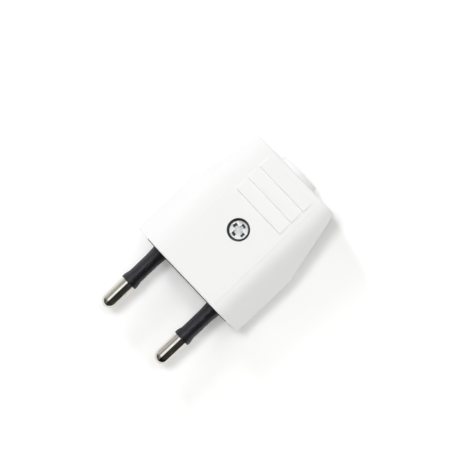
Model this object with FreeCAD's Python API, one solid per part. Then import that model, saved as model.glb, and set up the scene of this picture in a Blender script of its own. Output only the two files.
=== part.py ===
import FreeCAD, Part
import os
from math import acos, atan2, cos, degrees, radians, sin, sqrt, tan

# Flat two-pin mains plug that comes apart at one screw. Lengths are in millimetres.
# The origin lies on the engagement face, halfway between the pins. +X is the way
# the pins point, +Y runs across the plug and +Z is the side that shows the screw.

# Body, from the engagement face back
body_length = 37.0
body_width = 35.0
body_height = 13.7
straight_length = 17.6
rear_width = 26.0
side_land = 1.2
ridge_width = 23.2
ridge_radius = 5.4
flat_rise = 0.08
flat_step = 0.45
edge_round = 0.3
rim_bevel = 0.25
wall = 1.8
front_wall = 1.6
carrier_stand = 0.3
joint_groove = 0.1
least_land = 0.1
fit_gap = 0.05

# Grip ribs, one set on each half
rib_count = 3
rib_pitch = 3.9
rib_from_rear = 5.18
rib_margin = 1.3
rib_height = 0.45
rib_face = 0.25
rib_end_slope = 0.6
rib_ramp = 3.3
rib_swell = 0.06

# Cord inlet at the rear
inlet_radius = 3.4
inlet_flare = 0.7
collar_wall = 2.1
collar_length = 1.3

# Lip of the upper half in the rebate of the lower half
lip_inset = 1.0
lip_height = 0.8

# Contact pins with their terminal blocks
pin_spacing = 18.8
pin_length = 19.0
pin_radius = 2.0
pin_tip_flat = 0.3
pin_neck_radius = 1.45
terminal_radius = 3.2
terminal_length = 8.2
terminal_flat = 2.3
wire_hole_radius = 1.3
wire_hole_depth = 6.4

# Carrier with the two sleeves, moulded round the pins
carrier_side = 4.4
carrier_inset = 2.0
flange_step = 0.7
flange_thickness = 1.7
keeper_thickness = 1.0
keeper_depth = 0.8
sleeve_length = 10.7
sleeve_wall = 0.5
sleeve_ring_rise = 0.32
sleeve_ring_length = 0.8
sleeve_ring_taper = 1.4
sleeve_root_rise = 0.23
sleeve_root_length = 3.0

# Housing screw and its nut
screw_back = 17.7
screw_head_radius = 2.35
screw_head_height = 1.8
screw_recess_gap = 0.5
screw_recess_depth = 2.2
screw_cross_length = 3.7
screw_cross_floor = 2.4
screw_cross_width = 1.1
screw_cross_depth = 1.2
screw_turn = -8.0
thread_radius = 1.5
thread_play = 0.02
screw_hole_play = 0.12
boss_wall = 1.3
nut_across = 5.5
nut_height = 2.4
nut_depth = 0.8
nut_chamfer = 0.35

# Terminal screws
terminal_screw_radius = 1.2
terminal_screw_length = 2.9
terminal_screw_back = 3.7
terminal_head_radius = 1.95
terminal_head_height = 1.2
small_slot_width = 0.55
small_slot_depth = 0.55

# Cord clamp inside the inlet
clamp_from_rear = 6.8
clamp_span = 14.6
clamp_headroom = 0.85
clamp_bar_width = 5.0
clamp_bar_thickness = 1.5
clamp_bar_corner = 2.2
clamp_arch_radius = 3.2
clamp_arch_rise = 0.9
clamp_boss_radius = 2.2
clamp_screw_radius = 1.1
clamp_screw_play = 0.15
clamp_screw_grip = 5.2
clamp_head_radius = 2.0
clamp_head_height = 1.2

# Ribs inside the lower half
divider_thickness = 1.2
divider_top = 2.6
inner_rib_drop = 0.9
saddle_thickness = 1.0
saddle_width = 9.2
saddle_apart = 3.0
cradle_thickness = 1.2
cradle_width = 5.2

# Cross-section of the body, worked out from the sizes above
half_width = body_width / 2
half_height = body_height / 2
side_taper = atan2((body_width - rear_width) / 2, body_length - straight_length)
ridge_top = half_height - flat_rise
flank_angle = atan2(ridge_top - side_land / 2, half_width - ridge_width / 2)
flank_reach = half_width * sin(flank_angle) + side_land / 2 * cos(flank_angle)
flat_half = ridge_width / 2 - ridge_radius * tan(flank_angle / 2)
cavity_top = ridge_top - wall
inner_rib_foot = -cavity_top - fit_gap

# Places along the axis
front_x = -carrier_stand
rear_x = -body_length
collar_x = rear_x - collar_length
cavity_front_x = front_x - front_wall
cavity_rear_x = rear_x + wall
flange_front_x = cavity_front_x - fit_gap
flange_rear_x = flange_front_x - flange_thickness
keeper_x = flange_rear_x - fit_gap
keeper_rear_x = keeper_x - keeper_thickness
terminal_rear_x = flange_rear_x - terminal_length
terminal_screw_x = flange_rear_x - terminal_screw_back
screw_x = -screw_back
clamp_x = rear_x + clamp_from_rear

# Places across and up
pin_y = pin_spacing / 2
clamp_screw_y = clamp_span / 2
carrier_half = pin_y + carrier_side
sleeve_radius = pin_neck_radius + sleeve_wall
collar_radius = inlet_radius + collar_wall
recess_radius = screw_head_radius + screw_recess_gap
boss_radius = recess_radius + boss_wall
head_seat_z = half_height - screw_recess_depth - screw_head_height
nut_seat_z = nut_depth + nut_height - half_height
clamp_seat_z = cavity_top - clamp_headroom - clamp_head_height
clamp_boss_z = clamp_seat_z - clamp_bar_thickness


def vec(x, y, z):
    return FreeCAD.Vector(x, y, z)


def box(x0, x1, y0, y1, z0, z1):
    corner = vec(min(x0, x1), min(y0, y1), min(z0, z1))
    return Part.makeBox(abs(x1 - x0), abs(y1 - y0), abs(z1 - z0), corner)


def rod_x(radius, x0, x1, y=0.0, z=0.0):
    return Part.makeCylinder(radius, abs(x1 - x0), vec(min(x0, x1), y, z), vec(1, 0, 0))


def rod_z(radius, z0, z1, x, y=0.0):
    return Part.makeCylinder(radius, abs(z1 - z0), vec(x, y, min(z0, z1)), vec(0, 0, 1))


def prism(points, along):
    return Part.Face(Part.makePolygon(points + [points[0]])).extrude(along)


def turned(profile, start, axis):
    """Solid turned about the axis through start, from pairs of distance along it and radius."""
    side = vec(0, 0, 1) if axis.z == 0 else vec(1, 0, 0)
    corners = [start + axis * along + side * radius for along, radius in profile]
    return Part.Face(Part.makePolygon(corners + [corners[0]])).revolve(start, axis, 360)


def mirrored(shape):
    return shape.mirror(vec(0, 0, 0), vec(0, 0, 1))


# Upper half of the body's cross-section, moved inwards by inset and cut off at widest
def half_section(inset, x, widest):
    top = ridge_top - inset
    reach = flank_reach - inset
    side_y = min(half_width - inset, reach / sin(flank_angle) - least_land, widest)
    side_z = (reach - side_y * sin(flank_angle)) / cos(flank_angle)
    corner_y = (reach - top * cos(flank_angle)) / sin(flank_angle)
    radius = max(ridge_radius - inset, edge_round)
    tangent = radius * tan(flank_angle / 2)
    low_y = corner_y + tangent * cos(flank_angle)
    low_z = top - tangent * sin(flank_angle)
    mid_y = corner_y - tangent + radius * sin(flank_angle / 2)
    mid_z = top - radius + radius * cos(flank_angle / 2)

    def side_edges(sign):
        foot = vec(x, sign * side_y, 0)
        side = vec(x, sign * side_y, side_z)
        low = vec(x, sign * low_y, low_z)
        mid = vec(x, sign * mid_y, mid_z)
        high = vec(x, sign * (corner_y - tangent), top)
        ridge = Part.Arc(low, mid, high).toShape()
        return foot, high, [Part.makeLine(foot, side), Part.makeLine(side, low), ridge]

    foot, high, edges = side_edges(1)
    other_foot, other_high, other_edges = side_edges(-1)
    across = [Part.makeLine(high, other_high), Part.makeLine(other_foot, foot)]
    return Part.Face(Part.Wire(Part.__sortEdges__(edges + other_edges + across)))


def half_bar(inset, x0, x1, widest=body_width):
    return half_section(inset, x0, widest).extrude(vec(x1 - x0, 0, 0))


# Outline of the body seen from above, moved inwards by inset
def plan_block(inset, x0, x1, z0, z1):
    kink_x = -straight_length + inset * tan(side_taper / 2)
    side_y = half_width - inset
    rear_y = side_y - (kink_x - x1) * tan(side_taper)
    right = [vec(x0, -side_y, z0), vec(kink_x, -side_y, z0), vec(x1, -rear_y, z0)]
    left = [vec(x1, rear_y, z0), vec(kink_x, side_y, z0), vec(x0, side_y, z0)]
    return prism(right + left, vec(0, 0, z1 - z0))


# Bar of the body's section, with its long side edges rounded and the rims of its ends bevelled
def straight_body():
    bar = half_bar(0, front_x, rear_x)

    def is_side(edge):
        bounds = edge.BoundBox
        return bounds.XLength > edge_round and edge_round < bounds.ZMax < side_land

    def is_rim(edge):
        bounds = edge.BoundBox
        return bounds.XLength < rim_bevel and bounds.ZMax > rim_bevel

    bar = bar.makeFillet(edge_round, [edge for edge in bar.Edges if is_side(edge)])
    return bar.makeChamfer(rim_bevel, [edge for edge in bar.Edges if is_rim(edge)])


# Tapered sides, with their edges against the flanks rounded
def tapered_sides():
    foot_y = half_width + side_land / 2 / tan(flank_angle)
    section = [(-foot_y, 0), (-ridge_width / 2, ridge_top), (ridge_width / 2, ridge_top), (foot_y, 0)]
    flanks = prism([vec(rear_x, y, z) for y, z in section], vec(body_length, 0, 0))
    rear_y = rear_width / 2
    front_y = rear_y + body_length * tan(side_taper)
    plan = [(rear_x, -rear_y), (rear_x, rear_y), (0, front_y), (0, -front_y)]
    sides = flanks.common(prism([vec(x, y, 0) for x, y in plan], vec(0, 0, half_height)))

    def is_sloping(edge):
        bounds = edge.BoundBox
        return min(bounds.XLength, bounds.YLength, bounds.ZLength) > edge_round

    return sides.makeFillet(edge_round, [edge for edge in sides.Edges if is_sloping(edge)])


# Outside of one half, with every edge rounded but the ridges, the kinks and the joint
def rounded_body():
    block = plan_block(0, front_x, rear_x, 0, half_height)

    def is_rear_corner(edge):
        bounds = edge.BoundBox
        return bounds.ZLength > edge_round and bounds.XMax < rear_x + edge_round

    block = block.makeFillet(edge_round, [edge for edge in block.Edges if is_rear_corner(edge)])
    return straight_body().common(block).common(tapered_sides())


# Flat between the ridges, raised by a small sloping step
def raised_flat():
    front = front_x - edge_round
    foot_z = ridge_top - edge_round
    high_half = flat_half - flat_step
    outline = [(-flat_half, foot_z), (-flat_half, ridge_top), (-high_half, half_height),
               (high_half, half_height), (flat_half, ridge_top), (flat_half, foot_z)]
    bar = prism([vec(front, y, z) for y, z in outline], vec(rear_x + edge_round - front, 0, 0))

    def is_end(edge):
        return edge.BoundBox.YLength > flat_half and edge.BoundBox.ZMin > ridge_top

    return bar.makeChamfer(flat_rise / 2, [edge for edge in bar.Edges if is_end(edge)])


# Grip rib: a steep face towards the pins, a swelling slope behind it and sloping ends
def grip_rib(foot_x):
    crest_x = foot_x - rib_face
    end_x = crest_x - rib_ramp
    foot_z = half_height - flat_rise / 2
    half_length = flat_half - flat_step - rib_margin
    foot = vec(foot_x, -half_length, half_height)
    crest = vec(crest_x, -half_length, half_height + rib_height)
    mid = vec((crest_x + end_x) / 2, -half_length, half_height + rib_height / 2 + rib_swell)
    end = vec(end_x, -half_length, half_height)
    low_foot = vec(foot_x, -half_length, foot_z)
    low_end = vec(end_x, -half_length, foot_z)
    edges = [
        Part.makeLine(low_foot, foot),
        Part.makeLine(foot, crest),
        Part.Arc(crest, mid, end).toShape(),
        Part.makeLine(end, low_end),
        Part.makeLine(low_end, low_foot),
    ]
    wedge = Part.Face(Part.Wire(edges)).extrude(vec(0, 2 * half_length, 0))
    top_z = half_height + rib_height
    top_half = half_length - rib_end_slope
    section = [(-half_length, foot_z), (-half_length, half_height), (-top_half, top_z),
               (top_half, top_z), (half_length, half_height), (half_length, foot_z)]
    return wedge.common(prism([vec(end_x, y, z) for y, z in section], vec(foot_x - end_x, 0, 0)))


def cavity():
    bar = half_bar(wall, cavity_front_x, cavity_rear_x)
    return bar.common(plan_block(wall, cavity_front_x, cavity_rear_x, 0, half_height))


# Rib round the inside that holds the carrier's flange from behind
def keeper():
    outer = half_bar(wall - fit_gap, keeper_x, keeper_rear_x)
    return outer.cut(half_bar(wall + keeper_depth, keeper_x, keeper_rear_x))


def carrier_opening():
    return half_bar(carrier_inset - fit_gap, front_x, cavity_front_x, carrier_half + fit_gap)


def inlet_cut():
    bore = rod_x(inlet_radius, collar_x, cavity_rear_x)
    mouth_radius = inlet_radius + inlet_flare
    mouth = Part.makeCone(mouth_radius, inlet_radius, inlet_flare, vec(collar_x, 0, 0), vec(1, 0, 0))
    return bore.fuse(mouth)


# Half of the fine groove that runs round the housing at the joint
def half_groove():
    top = joint_groove / 2
    collar_half = collar_radius - joint_groove
    outer = plan_block(-joint_groove, front_x, rear_x - joint_groove, 0, top)
    ring = outer.cut(plan_block(joint_groove, front_x, rear_x + joint_groove, 0, top))
    ring = ring.cut(box(rear_x + wall, collar_x, -collar_radius, collar_radius, 0, top))
    collar = box(rear_x, collar_x, -collar_radius, collar_radius, 0, top)
    return ring.fuse(collar.cut(box(rear_x, collar_x, -collar_half, collar_half, 0, top)))


# What both halves of the housing share, drawn as the upper one
def half_housing():
    shell = rounded_body().fuse(raised_flat())
    for index in range(rib_count):
        shell = shell.fuse(grip_rib(rear_x + rib_from_rear + index * rib_pitch))
    collar_root_x = rear_x + edge_round
    collar = rod_x(collar_radius, collar_root_x, collar_x)
    collar = collar.common(box(collar_root_x, collar_x, -half_width, half_width, 0, half_height))
    shell = shell.fuse(collar).cut(cavity()).fuse(keeper())
    shell = shell.cut(carrier_opening()).cut(inlet_cut())
    boss = rod_z(boss_radius, 0, cavity_top + fit_gap, screw_x)
    screw_hole = rod_z(thread_radius + screw_hole_play, 0, half_height, screw_x)
    return shell.fuse(boss).cut(screw_hole).cut(half_groove())


# Lip below the joint, or with a gap round it the rebate that takes it
def lip_ring(gap):
    low = -lip_height - gap
    outer = plan_block(lip_inset - gap, cavity_front_x, rear_x + lip_inset - gap, low, 0)
    inner = plan_block(wall, cavity_front_x, cavity_rear_x, low, 0)
    carrier_room = box(front_x, keeper_rear_x, -half_width, half_width, low, 0)
    inlet_room = rod_x(collar_radius - gap, collar_x, clamp_x)
    return outer.cut(inner).cut(carrier_room).cut(inlet_room)


def upper_shell():
    shell = half_housing().fuse(lip_ring(0))
    recess = rod_z(recess_radius, head_seat_z, half_height + rib_height, screw_x)
    return shell.cut(recess).removeSplitter()


# Rib under the cord, hollowed to its round
def saddle(x):
    x0 = x - saddle_thickness / 2
    x1 = x + saddle_thickness / 2
    plate = box(x0, x1, -saddle_width / 2, saddle_width / 2, inner_rib_foot, -inner_rib_drop)
    return plate.cut(rod_x(inlet_radius, x0, x1))


# Rib under a terminal block, hollowed to its round
def cradle(y):
    x0 = terminal_rear_x + cradle_thickness
    x1 = x0 + cradle_thickness
    plate = box(x0, x1, y - cradle_width / 2, y + cradle_width / 2, inner_rib_foot, -inner_rib_drop)
    return plate.cut(rod_x(terminal_radius + fit_gap, x0, x1, y))


# Wall between the terminals, sunk into the lower boss and clear of the upper one
def divider():
    half = divider_thickness / 2
    boss_x = screw_x + boss_radius
    low = box(boss_x - fit_gap, keeper_rear_x + fit_gap, -half, half, inner_rib_foot, 0)
    high = box(boss_x + fit_gap, keeper_rear_x - fit_gap, -half, half, 0, divider_top)
    return low.fuse(high)


def hexagon(z0, z1, clearance):
    corner = (nut_across / 2 + clearance) / cos(radians(30))
    angles = [radians(60 * index) for index in range(6)]
    points = [vec(screw_x + corner * cos(angle), corner * sin(angle), z0) for angle in angles]
    return prism(points, vec(0, 0, z1 - z0))


def lower_shell():
    shell = mirrored(half_housing()).cut(lip_ring(2 * fit_gap)).fuse(divider())
    for sign in (-1, 1):
        boss = rod_z(clamp_boss_radius, inner_rib_foot, clamp_boss_z, clamp_x, sign * clamp_screw_y)
        hole_end = clamp_boss_z - clamp_screw_grip - fit_gap
        hole = rod_z(clamp_screw_radius, hole_end, clamp_boss_z, clamp_x, sign * clamp_screw_y)
        shell = shell.fuse(cradle(sign * pin_y)).fuse(saddle(clamp_x + sign * saddle_apart / 2))
        shell = shell.fuse(boss).cut(hole)
    pocket = hexagon(nut_seat_z, -half_height - rib_height, fit_gap)
    return shell.cut(pocket).removeSplitter()


# Cylindrical head with a bevelled upper rim, on a plain shank
def screw_blank(head_radius, head_height, shank_radius, length, seat_z, x, y):
    top_z = seat_z + head_height
    head = rod_z(head_radius, seat_z, top_z, x, y)
    rim = [edge for edge in head.Edges if edge.BoundBox.ZMin > top_z - edge_round]
    return head.makeChamfer(edge_round, rim).fuse(rod_z(shank_radius, seat_z - length, seat_z, x, y))


def slotted_screw(head_radius, head_height, shank_radius, length, seat_z, x, y):
    blank = screw_blank(head_radius, head_height, shank_radius, length, seat_z, x, y)
    top_z = seat_z + head_height
    half = small_slot_width / 2
    slot = box(x - half, x + half, y - head_radius, y + head_radius, top_z - small_slot_depth, top_z)
    return blank.cut(slot).removeSplitter()


def terminal_screw(y):
    return slotted_screw(terminal_head_radius, terminal_head_height, terminal_screw_radius,
                         terminal_screw_length, terminal_flat + fit_gap, terminal_screw_x, y)


def clamp_screw(y):
    return slotted_screw(clamp_head_radius, clamp_head_height, clamp_screw_radius,
                         clamp_bar_thickness + clamp_screw_grip, clamp_seat_z, clamp_x, y)


# Arm of the cross recess, with ends that slope in towards its floor
def cross_arm(top_z, turn):
    outline = [(screw_cross_length / 2, top_z), (screw_cross_floor / 2, top_z - screw_cross_depth)]
    outline += [(-along, z) for along, z in reversed(outline)]
    side_y = -screw_cross_width / 2
    arm = prism([vec(screw_x + along, side_y, z) for along, z in outline], vec(0, screw_cross_width, 0))
    arm.rotate(vec(screw_x, 0, 0), vec(0, 0, 1), turn)
    return arm


# Bevelled point, and a head with a cross recess
def housing_screw():
    end_z = nut_seat_z - nut_height
    length = head_seat_z - end_z
    screw = screw_blank(screw_head_radius, screw_head_height, thread_radius, length, head_seat_z, screw_x, 0)
    point = [edge for edge in screw.Edges if edge.BoundBox.ZMax < end_z + edge_round]
    screw = screw.makeChamfer(edge_round, point)
    top_z = head_seat_z + screw_head_height
    for turn in (screw_turn, screw_turn + 90):
        screw = screw.cut(cross_arm(top_z, turn))
    return screw.removeSplitter()


def housing_nut():
    low_z = nut_seat_z - nut_height
    corner = nut_across / 2 / cos(radians(30))
    inner = corner - nut_chamfer
    blank = turned([(0, 0), (0, inner), (nut_chamfer, corner), (nut_height - nut_chamfer, corner),
                    (nut_height, inner), (nut_height, 0)], vec(screw_x, 0, low_z), vec(0, 0, 1))
    thread = rod_z(thread_radius + thread_play, low_z, nut_seat_z, screw_x)
    return hexagon(low_z, nut_seat_z, 0).common(blank).cut(thread)


def full_bar(inset, x0, x1, widest):
    half = half_bar(inset, x0, x1, widest)
    return half.fuse(mirrored(half)).removeSplitter()


# Sleeve that widens at its root and in a ring at its end
def sleeve(y):
    ring_x = sleeve_length - sleeve_ring_length
    profile = [
        (flange_front_x, 0),
        (flange_front_x, sleeve_radius + sleeve_root_rise),
        (0, sleeve_radius + sleeve_root_rise),
        (sleeve_root_length, sleeve_radius),
        (ring_x - sleeve_ring_taper, sleeve_radius),
        (ring_x, sleeve_radius + sleeve_ring_rise),
        (sleeve_length, sleeve_radius + sleeve_ring_rise),
        (sleeve_length, 0),
    ]
    return turned(profile, vec(0, y, 0), vec(1, 0, 0))


def pin_carrier():
    plate = full_bar(carrier_inset, 0, flange_front_x, carrier_half)
    flange = full_bar(wall + fit_gap, flange_front_x, flange_rear_x, carrier_half + flange_step)
    carrier = plate.fuse(flange)
    for y in (-pin_y, pin_y):
        carrier = carrier.fuse(sleeve(y)).cut(rod_x(pin_neck_radius, flange_rear_x, sleeve_length, y))
    return carrier.removeSplitter()


# Pin with a bare end, a thinner neck inside the carrier and a drilled terminal block
def contact_pin(y):
    round_x = pin_length - sqrt(pin_radius ** 2 - pin_tip_flat ** 2)
    flat_latitude = degrees(acos(pin_tip_flat / pin_radius))
    tip = Part.makeSphere(pin_radius, vec(round_x, y, 0), vec(1, 0, 0), 0, flat_latitude, 360)
    tip = tip.fuse(rod_x(pin_radius, sleeve_length, round_x, y))
    neck = rod_x(pin_neck_radius, flange_rear_x, sleeve_length, y)
    block = rod_x(terminal_radius, terminal_rear_x, flange_rear_x, y)
    side = terminal_radius
    above = box(terminal_rear_x, flange_rear_x, y - side, y + side, terminal_flat, side)
    block = block.cut(above)
    wire_hole = rod_x(wire_hole_radius, terminal_rear_x, terminal_rear_x + wire_hole_depth, y)
    hole_radius = terminal_screw_radius + thread_play
    screw_hole = rod_z(hole_radius, -wire_hole_radius / 2, terminal_flat, terminal_screw_x, y)
    return tip.fuse(neck).fuse(block).cut(wire_hole).cut(screw_hole).removeSplitter()


# Bar over the cord, arched in the middle and held down at both ends
def cord_clamp_bar():
    x0 = clamp_x - clamp_bar_width / 2
    x1 = clamp_x + clamp_bar_width / 2
    reach = clamp_screw_y + clamp_boss_radius
    bar = box(x0, x1, -reach, reach, clamp_boss_z, clamp_seat_z)
    corners = [edge for edge in bar.Edges if edge.BoundBox.ZLength > clamp_bar_thickness / 2]
    bar = bar.makeFillet(clamp_bar_corner, corners)
    arch_z = clamp_boss_z + clamp_arch_rise - clamp_arch_radius
    arch = rod_x(clamp_arch_radius + clamp_bar_thickness, x0, x1, 0, arch_z)
    bar = bar.fuse(arch.common(box(x0, x1, -reach, reach, clamp_boss_z, half_height)))
    bar = bar.cut(rod_x(clamp_arch_radius, x0, x1, 0, arch_z))
    hole_radius = clamp_screw_radius + clamp_screw_play
    for y in (-clamp_screw_y, clamp_screw_y):
        bar = bar.cut(rod_z(hole_radius, clamp_boss_z, clamp_seat_z, clamp_x, y))
    return bar.removeSplitter()


pieces = {
    "upper_shell": upper_shell(),
    "lower_shell": lower_shell(),
    "housing_screw": housing_screw(),
    "housing_nut": housing_nut(),
    "pin_carrier": pin_carrier(),
    "cord_clamp_bar": cord_clamp_bar(),
}
for side, sign in (("left", 1), ("right", -1)):
    pieces["pin_" + side] = contact_pin(sign * pin_y)
    pieces["terminal_screw_" + side] = terminal_screw(sign * pin_y)
    pieces["clamp_screw_" + side] = clamp_screw(sign * clamp_screw_y)

os.makedirs("parts", exist_ok=True)
for node, shape in pieces.items():
    shape.exportStep("parts/" + node + ".step")
    print(node, "solids", len(shape.Solids), "valid", shape.isValid(), "volume", round(shape.Volume, 2))
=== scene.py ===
"""Looks of a flat two-pin mains plug: its finishes, its threaded screws, the studio and the camera."""

import math

import bpy
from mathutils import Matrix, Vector

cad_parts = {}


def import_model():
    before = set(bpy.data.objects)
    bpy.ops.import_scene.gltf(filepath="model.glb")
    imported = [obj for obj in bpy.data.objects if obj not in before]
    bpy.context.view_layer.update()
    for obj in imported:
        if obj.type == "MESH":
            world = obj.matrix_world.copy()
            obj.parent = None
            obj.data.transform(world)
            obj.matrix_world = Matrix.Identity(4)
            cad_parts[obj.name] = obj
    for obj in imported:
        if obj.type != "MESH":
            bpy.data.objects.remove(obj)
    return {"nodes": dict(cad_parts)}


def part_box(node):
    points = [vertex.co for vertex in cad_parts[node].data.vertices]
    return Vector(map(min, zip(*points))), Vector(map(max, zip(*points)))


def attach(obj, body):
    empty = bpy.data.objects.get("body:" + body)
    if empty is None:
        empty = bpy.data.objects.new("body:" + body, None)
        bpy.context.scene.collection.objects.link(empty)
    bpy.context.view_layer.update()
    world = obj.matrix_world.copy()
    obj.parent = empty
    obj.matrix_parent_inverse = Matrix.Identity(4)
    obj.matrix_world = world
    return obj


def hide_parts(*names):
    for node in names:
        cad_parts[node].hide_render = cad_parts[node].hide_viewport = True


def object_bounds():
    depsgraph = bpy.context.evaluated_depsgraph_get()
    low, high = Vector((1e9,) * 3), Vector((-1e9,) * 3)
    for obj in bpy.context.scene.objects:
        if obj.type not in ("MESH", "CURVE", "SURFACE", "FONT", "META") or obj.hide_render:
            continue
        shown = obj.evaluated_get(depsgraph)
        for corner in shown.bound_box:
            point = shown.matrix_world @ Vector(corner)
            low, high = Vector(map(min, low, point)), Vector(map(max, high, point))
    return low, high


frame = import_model()
cad_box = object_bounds()

MM = 0.001
ROOT = "root"

# Places read from the frame
top_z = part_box("upper_shell")[1].z
floor_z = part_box("lower_shell")[0].z
head_low, head_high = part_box("housing_screw")
head_top_z = head_high.z
screw_x = (head_low.x + head_high.x) / 2

# Camera, from the photograph's own perspective
CAMERA_PLACE = Vector((-22.0, 21.54, 500.0)) * MM
CAMERA_TURN = (math.radians(1.467), math.radians(2.317), math.radians(136.596))
PICTURE_SIDE = 460
FOCAL_PIXELS = 2051.0
SENSOR_WIDTH = 36.0
CLIP_START = 0.01

# Studio, in metres and degrees; azimuths run from +X towards +Y
FLOOR_SIDE = 3.0
# Floor's tone for the light that it throws back, and for what camera and gloss see of it
FLOOR_TONE = 0.86
FLOOR_SEEN = 1.075
# Azimuth, elevation, tightness and level of each patch; the softbox shows in gloss and metal only
SKY_PATCHES = (
    (180.0, 75.0, 40.0, 4.5),
    (270.0, 60.0, 20.0, 1.5),
    (90.0, 60.0, 20.0, 0.7),
    (315.0, 25.0, 30.0, 2.7),
    (90.0, 8.0, 20.0, 3.0),
    (180.0, 25.0, 30.0, 2.3),
    (5.0, 35.0, 30.0, 2.2),
)
SOFTBOX_IN_GLOSS = (180.0, 80.0, 250.0, 8.2)
# Tint of the sky in diffuse light only
FILL_COLOR = (1.0, 1.0, 0.965, 1.0)
LAMP_COLOR = (0.99, 0.99, 1.02)
LAMP_DISTANCE = 1.0
CEILING_LAMP = {"azimuth": 270.0, "elevation": 76.0, "width": 0.2, "height": 0.2, "power": 2.55}
WINDOW_LAMP = {"azimuth": 255.0, "elevation": 31.0, "width": 0.16, "height": 0.3, "power": 2.45}

# Room that polished metal shows, by the angle from straight up: -90 is level on the right pin's side
ROOM_IN_METAL = (
    (-90.0, 0.66),
    (-64.0, 0.62),
    (-48.0, 0.38),
    (-36.0, 0.3),
    (-31.0, 1.25),
    (-6.0, 1.25),
    (-2.0, 0.03),
    (34.0, 0.03),
    (40.0, 0.06),
    (48.0, 0.03),
    (66.0, 0.02),
    (90.0, 0.08),
)
# The room is dimmer ahead of the pins: the direction's X where that starts and ends, and what is left
FRONT_STARTS = 0.15
FRONT_ENDS = 0.55
FRONT_LEVEL = 0.2

# Recess of the housing screw, in millimetres: its radius, its edge above the head, the depth at which its
# painted shade is full
RECESS_REACH = 2.95
RECESS_DEPTH = 2.1
RECESS_SHADE_DEPTH = 1.2
# Share of the plastic's tone that is left where the painted shade is full
RECESS_SHADE_LEFT = 0.27

# Drive of the housing screw, in millimetres: its radius, and how deep its floor lies at least
DRIVE_REACH = 1.95
DRIVE_SUNK = 0.3
# A normal with less upward share than this is a wall's; each painted shade is the share of tone that it
# takes
WALL_UPWARD = 0.8
WALL_SHADE = 0.5
FLOOR_SHADE = 0.17

# Fine grain's change of the gloss, and how steeply plastic turns dull towards its rim
FINE_GLOSS = 0.05
RIM_POWER = 1.5
# Handling marks: scale of the hairlines by axis, where patches start and are full, and the tone they take
HAIR_STRETCH = (0.06, 1.0, 1.0)
PATCH_STARTS = 0.45
PATCH_FULL = 0.7
PATCH_SHADE = 0.06

# Grip ribs, in millimetres: their height, and how far the CAD slopes their ends
RIB_HEIGHT = 0.45
RIB_END_SLOPE = 0.58

# Meshes of the screws
RIM_RINGS = 4
HEAD_SIDES = 64
SHANK_SIDES = 36
ROWS_A_TURN = 10
CRISP_ANGLE = 30.0
# Share of the head's height that the shank fills, and the cutter's height over the drive's depth
SHANK_IN_HEAD = 0.15
CUTTER_RISE = 1.1
# Threads: slope of the flanks, where 1 leaves no flat, and pitches under the head at which they begin
FLANK_SLOPE = 1.3
THREAD_STARTS = 0.5

# Screws, in millimetres and degrees; the rest of each form comes from the frame
BEVEL = 0.12
SLOT = {
    "Drive Arms": 1,
    "Drive Width": 0.55,
    "Drive Top": 4.4,
    "Drive Floor": 4.4,
    "Drive Depth": 0.55,
    "Drive Turn": 90.0,
}
HOUSING_SCREW = {
    "Head Height": 1.8,
    "Shank Radius": 1.5,
    "Pitch": 0.5,
    "Thread Depth": 0.27,
    "Drive Arms": 2,
    "Drive Width": 1.1,
    "Drive Top": 3.7,
    "Drive Floor": 2.4,
    "Drive Depth": 1.2,
    "Drive Turn": -8.0,
}
TERMINAL_SCREW = {
    "Head Height": 1.2,
    "Shank Radius": 1.2,
    "Pitch": 0.45,
    "Thread Depth": 0.24,
    **SLOT,
}
CLAMP_SCREW = {
    "Head Height": 1.2,
    "Shank Radius": 1.1,
    "Pitch": 0.9,
    "Thread Depth": 0.32,
    **SLOT,
}


def add_object(name, data):
    holder = bpy.data.objects.new(name, data)
    bpy.context.scene.collection.objects.link(holder)
    return holder


def link(tree, source, target):
    tree.links.new(source, target)


def feed(tree, socket, value):
    """Give a socket a plain value, or link another node's output to it."""
    if isinstance(value, bpy.types.NodeSocket):
        link(tree, value, socket)
    else:
        socket.default_value = value


def put(tree, kind, values=None, **settings):
    """New node with its settings, and its inputs as plain values or other nodes' outputs."""
    node = tree.nodes.new(kind)
    for name, value in settings.items():
        setattr(node, name, value)
    for name, value in (values or {}).items():
        feed(tree, node.inputs[name], value)
    return node


def new_material(name, kind="ShaderNodeBsdfPrincipled"):
    material = bpy.data.materials.new(name)
    material.use_nodes = True
    tree = material.node_tree
    tree.nodes.clear()
    shader = put(tree, kind)
    put(tree, "ShaderNodeOutputMaterial", {"Surface": shader.outputs["BSDF"]})
    return material, shader


def math_node(tree, operation, *values):
    """Math node; a value is a number or another node's output."""
    node = put(tree, "ShaderNodeMath", operation=operation)
    for socket, value in zip(node.inputs, values):
        feed(tree, socket, value)
    return node.outputs[0]


def split(tree, vector):
    """Outputs X, Y and Z of a vector."""
    return put(tree, "ShaderNodeSeparateXYZ", {"Vector": vector}).outputs


def grey(level):
    return (level, level, level, 1.0)


def object_point(tree):
    return put(tree, "ShaderNodeTexCoord").outputs["Object"]


def noise(tree, point, scale, detail, stretch=None):
    """Noise in the object's own metres, with scale in cycles a metre."""
    if stretch is not None:
        point = put(tree, "ShaderNodeMapping", {"Vector": point, "Scale": stretch}).outputs["Vector"]
    node = put(tree, "ShaderNodeTexNoise", {"Vector": point, "Scale": scale, "Detail": detail})
    return node.outputs["Fac"]


def remap(tree, value, low, high, to_low, to_high):
    ends = {"Value": value, "From Min": low, "From Max": high, "To Min": to_low, "To Max": to_high}
    return put(tree, "ShaderNodeMapRange", ends).outputs["Result"]


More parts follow.
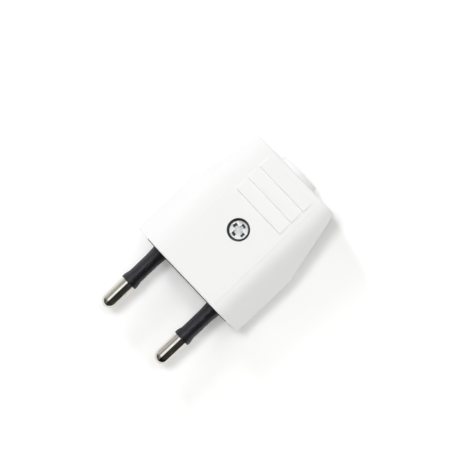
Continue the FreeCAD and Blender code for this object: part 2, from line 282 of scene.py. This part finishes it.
def new_group(name, inputs, outputs):
    """Shader node group with float inputs as (name, default), a Vector input and float outputs."""
    group = bpy.data.node_groups.new(name, "ShaderNodeTree")
    group.interface.new_socket("Vector", in_out="INPUT", socket_type="NodeSocketVector")
    for label, default in inputs:
        socket = group.interface.new_socket(label, in_out="INPUT", socket_type="NodeSocketFloat")
        socket.default_value = default
    for label in outputs:
        group.interface.new_socket(label, in_out="OUTPUT", socket_type="NodeSocketFloat")
    return group, group.nodes.new("NodeGroupInput"), group.nodes.new("NodeGroupOutput")


def moulded_skin_group():
    """Spark-eroded skin of moulded plastic: a fine height, broad unevenness of tone and of gloss."""
    group, given, result = new_group(
        "moulded_skin",
        [
            ("Grain Scale", 9000.0),
            ("Flow Scale", 90.0),
            ("Tone Spread", 0.02),
            ("Speckle", 0.0),
            ("Gloss Spread", 0.06),
        ],
        ["Height", "Tone", "Gloss"],
    )
    point = given.outputs["Vector"]
    grain = noise(group, point, given.outputs["Grain Scale"], detail=2.0)
    flow = noise(group, point, given.outputs["Flow Scale"], detail=3.0)
    centred = math_node(group, "SUBTRACT", flow, 0.5)
    tone = math_node(group, "MULTIPLY_ADD", centred, given.outputs["Tone Spread"], 1.0)
    fine = math_node(group, "SUBTRACT", grain, 0.5)
    tone = math_node(group, "MULTIPLY_ADD", fine, given.outputs["Speckle"], tone)
    gloss_change = math_node(group, "MULTIPLY", centred, given.outputs["Gloss Spread"])
    fine_change = math_node(group, "MULTIPLY", fine, FINE_GLOSS)
    link(group, grain, result.inputs["Height"])
    link(group, tone, result.inputs["Tone"])
    link(group, math_node(group, "ADD", gloss_change, fine_change), result.inputs["Gloss"])
    return group


def handling_marks_group():
    """Hairline marks and dull patches that handling leaves on plated metal."""
    group, given, result = new_group(
        "handling_marks",
        [("Hairline Scale", 2500.0), ("Patch Scale", 400.0), ("Dulling", 0.1)],
        ["Height", "Gloss", "Patches"],
    )
    point = given.outputs["Vector"]
    hairs = noise(group, point, given.outputs["Hairline Scale"], detail=4.0, stretch=HAIR_STRETCH)
    patches = noise(group, point, given.outputs["Patch Scale"], detail=3.0)
    mask = remap(group, patches, PATCH_STARTS, PATCH_FULL, 0.0, 1.0)
    link(group, hairs, result.inputs["Height"])
    link(group, math_node(group, "MULTIPLY", mask, given.outputs["Dulling"]), result.inputs["Gloss"])
    link(group, mask, result.inputs["Patches"])
    return group


MOULDED_SKIN = moulded_skin_group()
HANDLING_MARKS = handling_marks_group()


def place_group(tree, group, values):
    return put(tree, "ShaderNodeGroup", {"Vector": object_point(tree), **values}, node_tree=group)


def tinted(tree, color, tone):
    """Color made lighter or darker by a tone that varies about 1."""
    tones = put(tree, "ShaderNodeCombineColor", {"Red": tone, "Green": tone, "Blue": tone})
    both = {"Factor": 1.0, "A": (*color, 1.0), "B": tones.outputs["Color"]}
    return put(tree, "ShaderNodeMix", both, data_type="RGBA", blend_type="MULTIPLY").outputs["Result"]


def bump(tree, height, distance):
    relief = {"Height": height, "Distance": distance, "Strength": 1.0}
    return put(tree, "ShaderNodeBump", relief).outputs["Normal"]


def plastic(name, color, roughness, skin, grain_depth, ior=1.5, gleam=None, rim_dulling=0.0, tone=None):
    """Moulded plastic with the shared skin; gleam tints its shine, and rim_dulling dulls its rim."""
    material, shader = new_material(name)
    tree = material.node_tree
    group = place_group(tree, MOULDED_SKIN, skin)
    shade = group.outputs["Tone"]
    if tone is not None:
        shade = math_node(tree, "MULTIPLY", shade, tone(tree))
    link(tree, tinted(tree, color, shade), shader.inputs["Base Color"])
    dullness = math_node(tree, "ADD", group.outputs["Gloss"], roughness)
    if rim_dulling > 0.0:
        facing = put(tree, "ShaderNodeLayerWeight").outputs["Facing"]
        rim = math_node(tree, "POWER", facing, RIM_POWER)
        dullness = math_node(tree, "MULTIPLY_ADD", rim, rim_dulling, dullness)
    link(tree, dullness, shader.inputs["Roughness"])
    link(tree, bump(tree, group.outputs["Height"], grain_depth), shader.inputs["Normal"])
    shader.inputs["IOR"].default_value = ior
    if gleam is not None:
        shader.inputs["Specular Tint"].default_value = (*gleam, 1.0)
    return material


def near_screw(tree, radius):
    """Mask of points within so many millimetres of the housing screw's axis, and the points' height."""
    parts = split(tree, object_point(tree))
    along = math_node(tree, "SUBTRACT", parts["X"], screw_x)
    across = math_node(tree, "MULTIPLY", parts["Y"], parts["Y"])
    reach = math_node(tree, "SQRT", math_node(tree, "MULTIPLY_ADD", along, along, across))
    return math_node(tree, "LESS_THAN", reach, radius * MM), parts["Z"]


def recess_shade(tree):
    """Tone of the housing: painted shade in the gap round the screw's head, fuller further down."""
    inside, height = near_screw(tree, RECESS_REACH)
    top = head_top_z + RECESS_DEPTH * MM
    # Painted shade: the recess darkens from its edge down to the full depth
    painted_shade = remap(tree, height, top - RECESS_SHADE_DEPTH * MM, top, 1.0 - RECESS_SHADE_LEFT, 0.0)
    return math_node(tree, "SUBTRACT", 1.0, math_node(tree, "MULTIPLY", inside, painted_shade))


def drive_shade(tree):
    """Tone of the zinc: painted shade on steep and sunk faces near the housing screw's axis, as in its
    drive.
    """
    inside, height = near_screw(tree, DRIVE_REACH)
    upward = split(tree, put(tree, "ShaderNodeNewGeometry").outputs["Normal"])["Z"]
    # Painted shade on the drive's walls, and a lighter painted shade on its floor
    wall = math_node(tree, "MULTIPLY", inside, math_node(tree, "LESS_THAN", upward, WALL_UPWARD))
    sunk = math_node(tree, "LESS_THAN", height, head_top_z - DRIVE_SUNK * MM)
    bottom = math_node(tree, "MULTIPLY", inside, sunk)
    shade = math_node(tree, "MULTIPLY_ADD", bottom, -FLOOR_SHADE, 1.0)
    return math_node(tree, "MULTIPLY_ADD", wall, -WALL_SHADE, shade)


def white_plastic():
    return plastic(
        "white_plastic",
        color=(0.9, 0.9, 0.9),
        roughness=0.4,
        skin={"Grain Scale": 7000.0, "Flow Scale": 60.0, "Tone Spread": 0.02, "Gloss Spread": 0.08},
        grain_depth=0.000006,
        tone=recess_shade,
    )


def black_plastic():
    return plastic(
        "black_plastic",
        color=(0.0022, 0.0019, 0.003),
        roughness=0.36,
        skin={
            "Grain Scale": 2600.0,
            "Flow Scale": 300.0,
            "Tone Spread": 0.5,
            "Speckle": 1.2,
            "Gloss Spread": 0.2,
        },
        grain_depth=0.00011,
        ior=1.72,
        gleam=(0.95, 0.92, 1.0),
        rim_dulling=0.45,
    )


def clamp_plastic():
    return plastic(
        "clamp_plastic",
        color=(0.75, 0.75, 0.72),
        roughness=0.5,
        skin={"Grain Scale": 5000.0, "Flow Scale": 200.0, "Tone Spread": 0.06, "Gloss Spread": 0.08},
        grain_depth=0.00001,
    )


def plated_metal(name, color, roughness, marks, hair_depth, film=(1.0, 1.0), tone=None):
    """Plated metal with handling marks; film gives the metallic share where bare and where filmed over."""
    material, shader = new_material(name)
    tree = material.node_tree
    group = place_group(tree, HANDLING_MARKS, marks)
    shade = math_node(tree, "MULTIPLY_ADD", group.outputs["Patches"], -PATCH_SHADE, 1.0)
    if tone is not None:
        shade = math_node(tree, "MULTIPLY", shade, tone(tree))
    link(tree, tinted(tree, color, shade), shader.inputs["Base Color"])
    link(tree, math_node(tree, "ADD", group.outputs["Gloss"], roughness), shader.inputs["Roughness"])
    link(tree, bump(tree, group.outputs["Height"], hair_depth), shader.inputs["Normal"])
    if film[0] == film[1]:
        shader.inputs["Metallic"].default_value = film[0]
    else:
        link(tree, remap(tree, group.outputs["Patches"], 0.0, 1.0, *film), shader.inputs["Metallic"])
    return material


def nickel():
    return plated_metal(
        "nickel_plated_brass",
        color=(0.72, 0.69, 0.63),
        roughness=0.09,
        marks={"Hairline Scale": 3200.0, "Patch Scale": 500.0, "Dulling": 0.16},
        hair_depth=0.000018,
    )


def zinc():
    return plated_metal(
        "zinc_plated_steel",
        color=(0.86, 0.88, 0.88),
        roughness=0.3,
        marks={"Hairline Scale": 3000.0, "Patch Scale": 900.0, "Dulling": 0.15},
        hair_depth=0.00001,
        film=(0.9, 0.75),
        tone=drive_shade,
    )


def dress(material, *nodes):
    for node in nodes:
        slots = frame["nodes"][node].data.materials
        slots.clear()
        slots.append(material)


def rod_of_rings(tree, rings, height_of_ring, radius, sides):
    """Closed rod along Z from a line of rings."""
    line = put(tree, "GeometryNodeCurvePrimitiveLine", {"End": (0.0, 0.0, 1.0)})
    points = put(tree, "GeometryNodeResampleCurve", {"Curve": line.outputs["Curve"], "Count": rings})
    place = put(tree, "ShaderNodeCombineXYZ", {"Z": height_of_ring})
    set_place = {"Geometry": points.outputs["Curve"], "Position": place.outputs["Vector"]}
    points = put(tree, "GeometryNodeSetPosition", set_place)
    circle = put(tree, "GeometryNodeCurvePrimitiveCircle", {"Resolution": sides, "Radius": 1.0})
    sweep = {
        "Curve": points.outputs["Geometry"],
        "Profile Curve": circle.outputs["Curve"],
        "Scale": radius,
        "Fill Caps": True,
    }
    return put(tree, "GeometryNodeCurveToMesh", sweep).outputs["Mesh"]


def screw_head(tree, given):
    """Flat head with a rounded rim: ring 0 is its underside, and the others go round the rim."""
    ring = put(tree, "GeometryNodeInputIndex").outputs["Index"]
    step = math_node(tree, "MAXIMUM", math_node(tree, "SUBTRACT", ring, 1.0), 0.0)
    turn = math_node(tree, "MULTIPLY", step, math.pi / 2 / RIM_RINGS)
    bevel = given["Bevel"]
    foot = math_node(tree, "SUBTRACT", given["Head Height"], bevel)
    height = math_node(tree, "MULTIPLY_ADD", math_node(tree, "SINE", turn), bevel, foot)
    height = math_node(tree, "MULTIPLY", math_node(tree, "MINIMUM", ring, 1.0), height)
    inner = math_node(tree, "SUBTRACT", given["Head Radius"], bevel)
    radius = math_node(tree, "MULTIPLY_ADD", math_node(tree, "COSINE", turn), bevel, inner)
    return rod_of_rings(tree, RIM_RINGS + 2, height, radius, HEAD_SIDES)


def screw_shank(tree, given):
    """Shank with a right-handed thread that runs out under the head and at the bevelled point."""
    sunk = math_node(tree, "MULTIPLY", given["Head Height"], SHANK_IN_HEAD)
    whole = math_node(tree, "ADD", given["Length"], sunk)
    turns = math_node(tree, "DIVIDE", whole, given["Pitch"])
    spans = math_node(tree, "CEIL", math_node(tree, "MULTIPLY", turns, float(ROWS_A_TURN)))
    ring = put(tree, "GeometryNodeInputIndex").outputs["Index"]
    share = math_node(tree, "DIVIDE", ring, spans)
    below = math_node(tree, "MULTIPLY", given["Length"], -1.0)
    height = math_node(tree, "MULTIPLY_ADD", share, whole, below)
    rings = math_node(tree, "ADD", spans, 1.0)
    rod = rod_of_rings(tree, rings, height, given["Shank Radius"], SHANK_SIDES)

    parts = split(tree, put(tree, "GeometryNodeInputPosition").outputs["Position"])
    angle = math_node(tree, "DIVIDE", math_node(tree, "ARCTAN2", parts["Y"], parts["X"]), 2 * math.pi)
    rise = math_node(tree, "DIVIDE", parts["Z"], given["Pitch"])
    phase = math_node(tree, "FRACT", math_node(tree, "SUBTRACT", rise, angle))
    groove = math_node(tree, "PINGPONG", math_node(tree, "MULTIPLY", phase, 2.0), 1.0)
    flank = math_node(tree, "MULTIPLY_ADD", groove, FLANK_SLOPE, (1.0 - FLANK_SLOPE) / 2)
    flank = put(tree, "ShaderNodeClamp", {"Value": flank}).outputs["Result"]
    fade = math_node(tree, "MULTIPLY_ADD", rise, -1.0, -THREAD_STARTS)
    fade = put(tree, "ShaderNodeClamp", {"Value": fade}).outputs["Result"]
    depth = math_node(tree, "MULTIPLY", flank, given["Thread Depth"])
    depth = math_node(tree, "MULTIPLY", depth, fade)
    threaded = math_node(tree, "SUBTRACT", given["Shank Radius"], depth)
    above = math_node(tree, "ADD", parts["Z"], given["Length"])
    missing = math_node(tree, "MAXIMUM", math_node(tree, "SUBTRACT", given["Bevel"], above), 0.0)
    cone = math_node(tree, "SUBTRACT", given["Shank Radius"], missing)
    radius = math_node(tree, "MINIMUM", threaded, cone)
    scale = math_node(tree, "DIVIDE", radius, given["Shank Radius"])
    moved = put(
        tree,
        "ShaderNodeCombineXYZ",
        {
            "X": math_node(tree, "MULTIPLY", parts["X"], scale),
            "Y": math_node(tree, "MULTIPLY", parts["Y"], scale),
            "Z": parts["Z"],
        },
    )
    return put(tree, "GeometryNodeSetPosition", {"Geometry": rod, "Position": moved.outputs["Vector"]})


def drive_arms(tree, given):
    """Arms that cut the slot or the cross, with ends that slope in towards the floor."""
    block = put(tree, "GeometryNodeMeshCube").outputs["Mesh"]
    parts = split(tree, put(tree, "GeometryNodeInputPosition").outputs["Position"])
    level = math_node(tree, "MULTIPLY", math_node(tree, "ADD", parts["Z"], 0.5), CUTTER_RISE)
    growth = math_node(tree, "SUBTRACT", given["Drive Top"], given["Drive Floor"])
    reach = math_node(tree, "MULTIPLY_ADD", growth, level, given["Drive Floor"])
    sunk = math_node(tree, "MULTIPLY", math_node(tree, "SUBTRACT", level, 1.0), given["Drive Depth"])
    shaped = put(
        tree,
        "ShaderNodeCombineXYZ",
        {
            "X": math_node(tree, "MULTIPLY", parts["X"], reach),
            "Y": math_node(tree, "MULTIPLY", parts["Y"], given["Drive Width"]),
            "Z": math_node(tree, "ADD", sunk, given["Head Height"]),
        },
    )
    arm = put(tree, "GeometryNodeSetPosition", {"Geometry": block, "Position": shaped.outputs["Vector"]})
    spots = put(tree, "GeometryNodeMeshLine", {"Count": given["Drive Arms"], "Offset": (0.0, 0.0, 0.0)})
    index = put(tree, "GeometryNodeInputIndex").outputs["Index"]
    turn = math_node(tree, "MULTIPLY_ADD", index, math.pi / 2, given["Drive Turn"])
    spin = put(tree, "ShaderNodeCombineXYZ", {"Z": turn}).outputs["Vector"]
    spread = {
        "Points": spots.outputs["Mesh"],
        "Instance": arm.outputs["Geometry"],
        "Rotation": put(tree, "FunctionNodeEulerToRotation", {"Euler": spin}).outputs["Rotation"],
    }
    return put(tree, "GeometryNodeInstanceOnPoints", spread).outputs["Instances"]


def screw_tree():
    """Machine screw that stands with its head's seat at the given place."""
    tree = bpy.data.node_groups.new("machine_screw", "GeometryNodeTree")
    tree.is_modifier = True
    lengths = ("Head Radius", "Head Height", "Bevel", "Shank Radius", "Length", "Pitch", "Thread Depth")
    drive = ("Drive Width", "Drive Top", "Drive Floor", "Drive Depth", "Drive Turn")
    tree.interface.new_socket("Geometry", in_out="OUTPUT", socket_type="NodeSocketGeometry")
    for label in lengths + drive:
        tree.interface.new_socket(label, in_out="INPUT", socket_type="NodeSocketFloat")
    tree.interface.new_socket("Drive Arms", in_out="INPUT", socket_type="NodeSocketInt")
    tree.interface.new_socket("Place", in_out="INPUT", socket_type="NodeSocketVector")
    tree.interface.new_socket("Material", in_out="INPUT", socket_type="NodeSocketMaterial")
    given = tree.nodes.new("NodeGroupInput").outputs
    result = tree.nodes.new("NodeGroupOutput")

    whole = put(tree, "GeometryNodeMeshBoolean", operation="UNION", solver="EXACT")
    link(tree, screw_head(tree, given), whole.inputs["Mesh 2"])
    link(tree, screw_shank(tree, given).outputs["Geometry"], whole.inputs["Mesh 2"])
    cut = put(tree, "GeometryNodeMeshBoolean", {"Mesh 1": whole.outputs["Mesh"]}, solver="EXACT")
    link(tree, drive_arms(tree, given), cut.inputs["Mesh 2"])

    smooth = put(tree, "GeometryNodeSetShadeSmooth", {"Geometry": cut.outputs["Mesh"]})
    bend = put(tree, "GeometryNodeInputMeshEdgeAngle").outputs["Unsigned Angle"]
    crisp = {
        "Geometry": smooth.outputs["Geometry"],
        "Selection": math_node(tree, "GREATER_THAN", bend, math.radians(CRISP_ANGLE)),
        "Shade Smooth": False,
    }
    crisp = put(tree, "GeometryNodeSetShadeSmooth", crisp, domain="EDGE")
    set_down = {"Geometry": crisp.outputs["Geometry"], "Translation": given["Place"]}
    set_down = put(tree, "GeometryNodeTransform", set_down)
    real = put(tree, "GeometryNodeRealizeInstances", {"Geometry": set_down.outputs["Geometry"]})
    finish = {"Geometry": real.outputs["Geometry"], "Material": given["Material"]}
    finish = put(tree, "GeometryNodeSetMaterial", finish)
    link(tree, finish.outputs["Geometry"], result.inputs["Geometry"])
    return tree


def threaded_screw(tree, node, form, material):
    """Screw with its thread, in the place of the plain one."""
    low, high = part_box(node)
    values = {label: size if label == "Drive Arms" else size * MM for label, size in form.items()}
    values["Drive Turn"] = math.radians(form["Drive Turn"])
    values["Bevel"] = BEVEL * MM
    values["Head Radius"] = (high.x - low.x) / 2
    seat_z = high.z - values["Head Height"]
    values["Length"] = seat_z - low.z
    values["Place"] = ((low.x + high.x) / 2, (low.y + high.y) / 2, seat_z)
    values["Material"] = material
    holder = add_object(f"{node}_maker", bpy.data.meshes.new(f"{node}_maker"))
    modifier = holder.modifiers.new("machine_screw", "NODES")
    modifier.node_group = tree
    for item in tree.interface.items_tree:
        if item.in_out == "INPUT":
            modifier[item.identifier] = values[item.name]
    ready = holder.evaluated_get(bpy.context.evaluated_depsgraph_get())
    mesh = bpy.data.meshes.new_from_object(ready)
    bpy.data.objects.remove(holder)
    piece = add_object(f"{node}_threaded", mesh)
    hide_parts(node)
    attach(piece, ROOT)


def screws(material):
    tree = screw_tree()
    threaded_screw(tree, "housing_screw", HOUSING_SCREW, material)
    for side in ("left", "right"):
        threaded_screw(tree, f"terminal_screw_{side}", TERMINAL_SCREW, material)
        threaded_screw(tree, f"clamp_screw_{side}", CLAMP_SCREW, material)


def floor():
    """Wide white floor; what camera and gloss see of it is lighter than what lights the plug."""
    half = FLOOR_SIDE / 2
    mesh = bpy.data.meshes.new("floor")
    corners = ((-half, -half), (half, -half), (half, half), (-half, half))
    mesh.from_pydata([(x, y, floor_z) for x, y in corners], [], [(0, 1, 2, 3)])
    plane = add_object("floor", mesh)
    material, shader = new_material("floor", "ShaderNodeBsdfDiffuse")
    tree = material.node_tree
    path = put(tree, "ShaderNodeLightPath").outputs
    seen = math_node(tree, "MAXIMUM", path["Is Camera Ray"], path["Is Glossy Ray"])
    seen = math_node(tree, "MAXIMUM", seen, path["Is Transmission Ray"])
    tones = {"Factor": seen, "A": grey(FLOOR_TONE), "B": grey(FLOOR_SEEN)}
    tone = put(tree, "ShaderNodeMix", tones, data_type="RGBA").outputs["Result"]
    link(tree, tone, shader.inputs["Color"])
    mesh.materials.append(material)


def toward(azimuth, elevation):
    """Unit vector for an azimuth and elevation in degrees."""
    around = math.radians(azimuth)
    up = math.radians(elevation)
    return Vector((math.cos(up) * math.cos(around), math.cos(up) * math.sin(around), math.sin(up)))


def sky_patch(tree, direction, azimuth, elevation, tightness, level):
    """Soft bright patch of sky that falls off around its middle."""
    dot = put(tree, "ShaderNodeVectorMath", operation="DOT_PRODUCT")
    feed(tree, dot.inputs[0], direction)
    feed(tree, dot.inputs[1], toward(azimuth, elevation))
    facing = math_node(tree, "MAXIMUM", dot.outputs["Value"], 0.0)
    return math_node(tree, "MULTIPLY", math_node(tree, "POWER", facing, tightness), level)


def room_in_metal(tree, direction):
    """Level of the room by the angle from straight up, seen along the pins, and dimmer ahead of them."""
    parts = split(tree, direction)
    angle = math_node(tree, "ARCTAN2", parts["Y"], parts["Z"])
    share = remap(tree, angle, -math.pi / 2, math.pi / 2, 0.0, 1.0)
    ramp = put(tree, "ShaderNodeValToRGB", {"Fac": share})
    stops = ramp.color_ramp.elements
    while len(stops) < len(ROOM_IN_METAL):
        stops.new(0.5)
    for stop, (degrees, level) in zip(stops, ROOM_IN_METAL):
        stop.position = (degrees + 90.0) / 180.0
        stop.color = grey(level)
    front = remap(tree, parts["X"], FRONT_STARTS, FRONT_ENDS, 1.0, FRONT_LEVEL)
    return math_node(tree, "MULTIPLY", ramp.outputs["Color"], front)


def world():
    """Soft patches of sky for the diffuse light, and a room for what metal and gloss show."""
    sky = bpy.data.worlds.new("studio")
    bpy.context.scene.world = sky
    sky.use_nodes = True
    tree = sky.node_tree
    tree.nodes.clear()
    direction = put(tree, "ShaderNodeTexCoord").outputs["Generated"]
    patches = 0.0
    for patch in SKY_PATCHES:
        patches = math_node(tree, "ADD", sky_patch(tree, direction, *patch), patches)
    softbox = sky_patch(tree, direction, *SOFTBOX_IN_GLOSS)
    room = math_node(tree, "ADD", softbox, room_in_metal(tree, direction))
    path = put(tree, "ShaderNodeLightPath").outputs
    lit = put(tree, "ShaderNodeMix", {"Factor": path["Is Glossy Ray"], "A": patches, "B": room})
    seen = {"Factor": path["Is Camera Ray"], "A": lit.outputs["Result"], "B": 1.0}
    strength = put(tree, "ShaderNodeMix", seen).outputs["Result"]
    tints = {"Factor": path["Is Diffuse Ray"], "A": grey(1.0), "B": FILL_COLOR}
    tint = put(tree, "ShaderNodeMix", tints, data_type="RGBA").outputs["Result"]
    background = put(tree, "ShaderNodeBackground", {"Color": tint, "Strength": strength})
    put(tree, "ShaderNodeOutputWorld", {"Surface": background.outputs["Background"]})


def area_light(name, azimuth, elevation, width, height, power):
    """Rectangular lamp that faces the plug and that gloss doesn't show."""
    lamp = bpy.data.lights.new(name, "AREA")
    lamp.shape = "RECTANGLE"
    lamp.size = width
    lamp.size_y = height
    lamp.energy = power
    lamp.color = LAMP_COLOR
    holder = add_object(name, lamp)
    middle = (cad_box[0] + cad_box[1]) / 2
    away = toward(azimuth, elevation)
    holder.location = middle + away * LAMP_DISTANCE
    holder.rotation_euler = away.to_track_quat("Z", "Y").to_euler()
    holder.visible_glossy = False


def studio():
    floor()
    world()
    area_light("ceiling_lamp", **CEILING_LAMP)
    area_light("window_lamp", **WINDOW_LAMP)


def camera():
    data = bpy.data.cameras.new("camera")
    data.sensor_width = SENSOR_WIDTH
    data.lens = FOCAL_PIXELS / PICTURE_SIDE * SENSOR_WIDTH
    data.clip_start = CLIP_START
    holder = add_object("camera", data)
    holder.location = CAMERA_PLACE
    holder.rotation_euler = CAMERA_TURN
    bpy.context.scene.camera = holder


def upright_ribs(node, crest_z, material):
    """Half of the housing with upright ends on its grip ribs, so that no end face shows from above."""
    mesh = frame["nodes"][node].data.copy()
    flat_z = abs(crest_z) - RIB_HEIGHT * MM
    for vertex in mesh.vertices:
        rise = max(abs(vertex.co.z) - flat_z, 0.0)
        vertex.co.y += math.copysign(rise * RIB_END_SLOPE / RIB_HEIGHT, vertex.co.y)
    mesh.materials.clear()
    mesh.materials.append(material)
    piece = add_object(f"{node}_ribbed", mesh)
    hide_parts(node)
    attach(piece, ROOT)


bpy.context.scene.view_settings.view_transform = "Standard"
camera()
studio()
moulded_white = white_plastic()
upright_ribs("upper_shell", top_z, moulded_white)
upright_ribs("lower_shell", floor_z, moulded_white)
dress(black_plastic(), "pin_carrier")
dress(clamp_plastic(), "cord_clamp_bar")
dress(nickel(), "pin_left", "pin_right")
zinc_plated = zinc()
dress(zinc_plated, "housing_nut")
screws(zinc_plated)
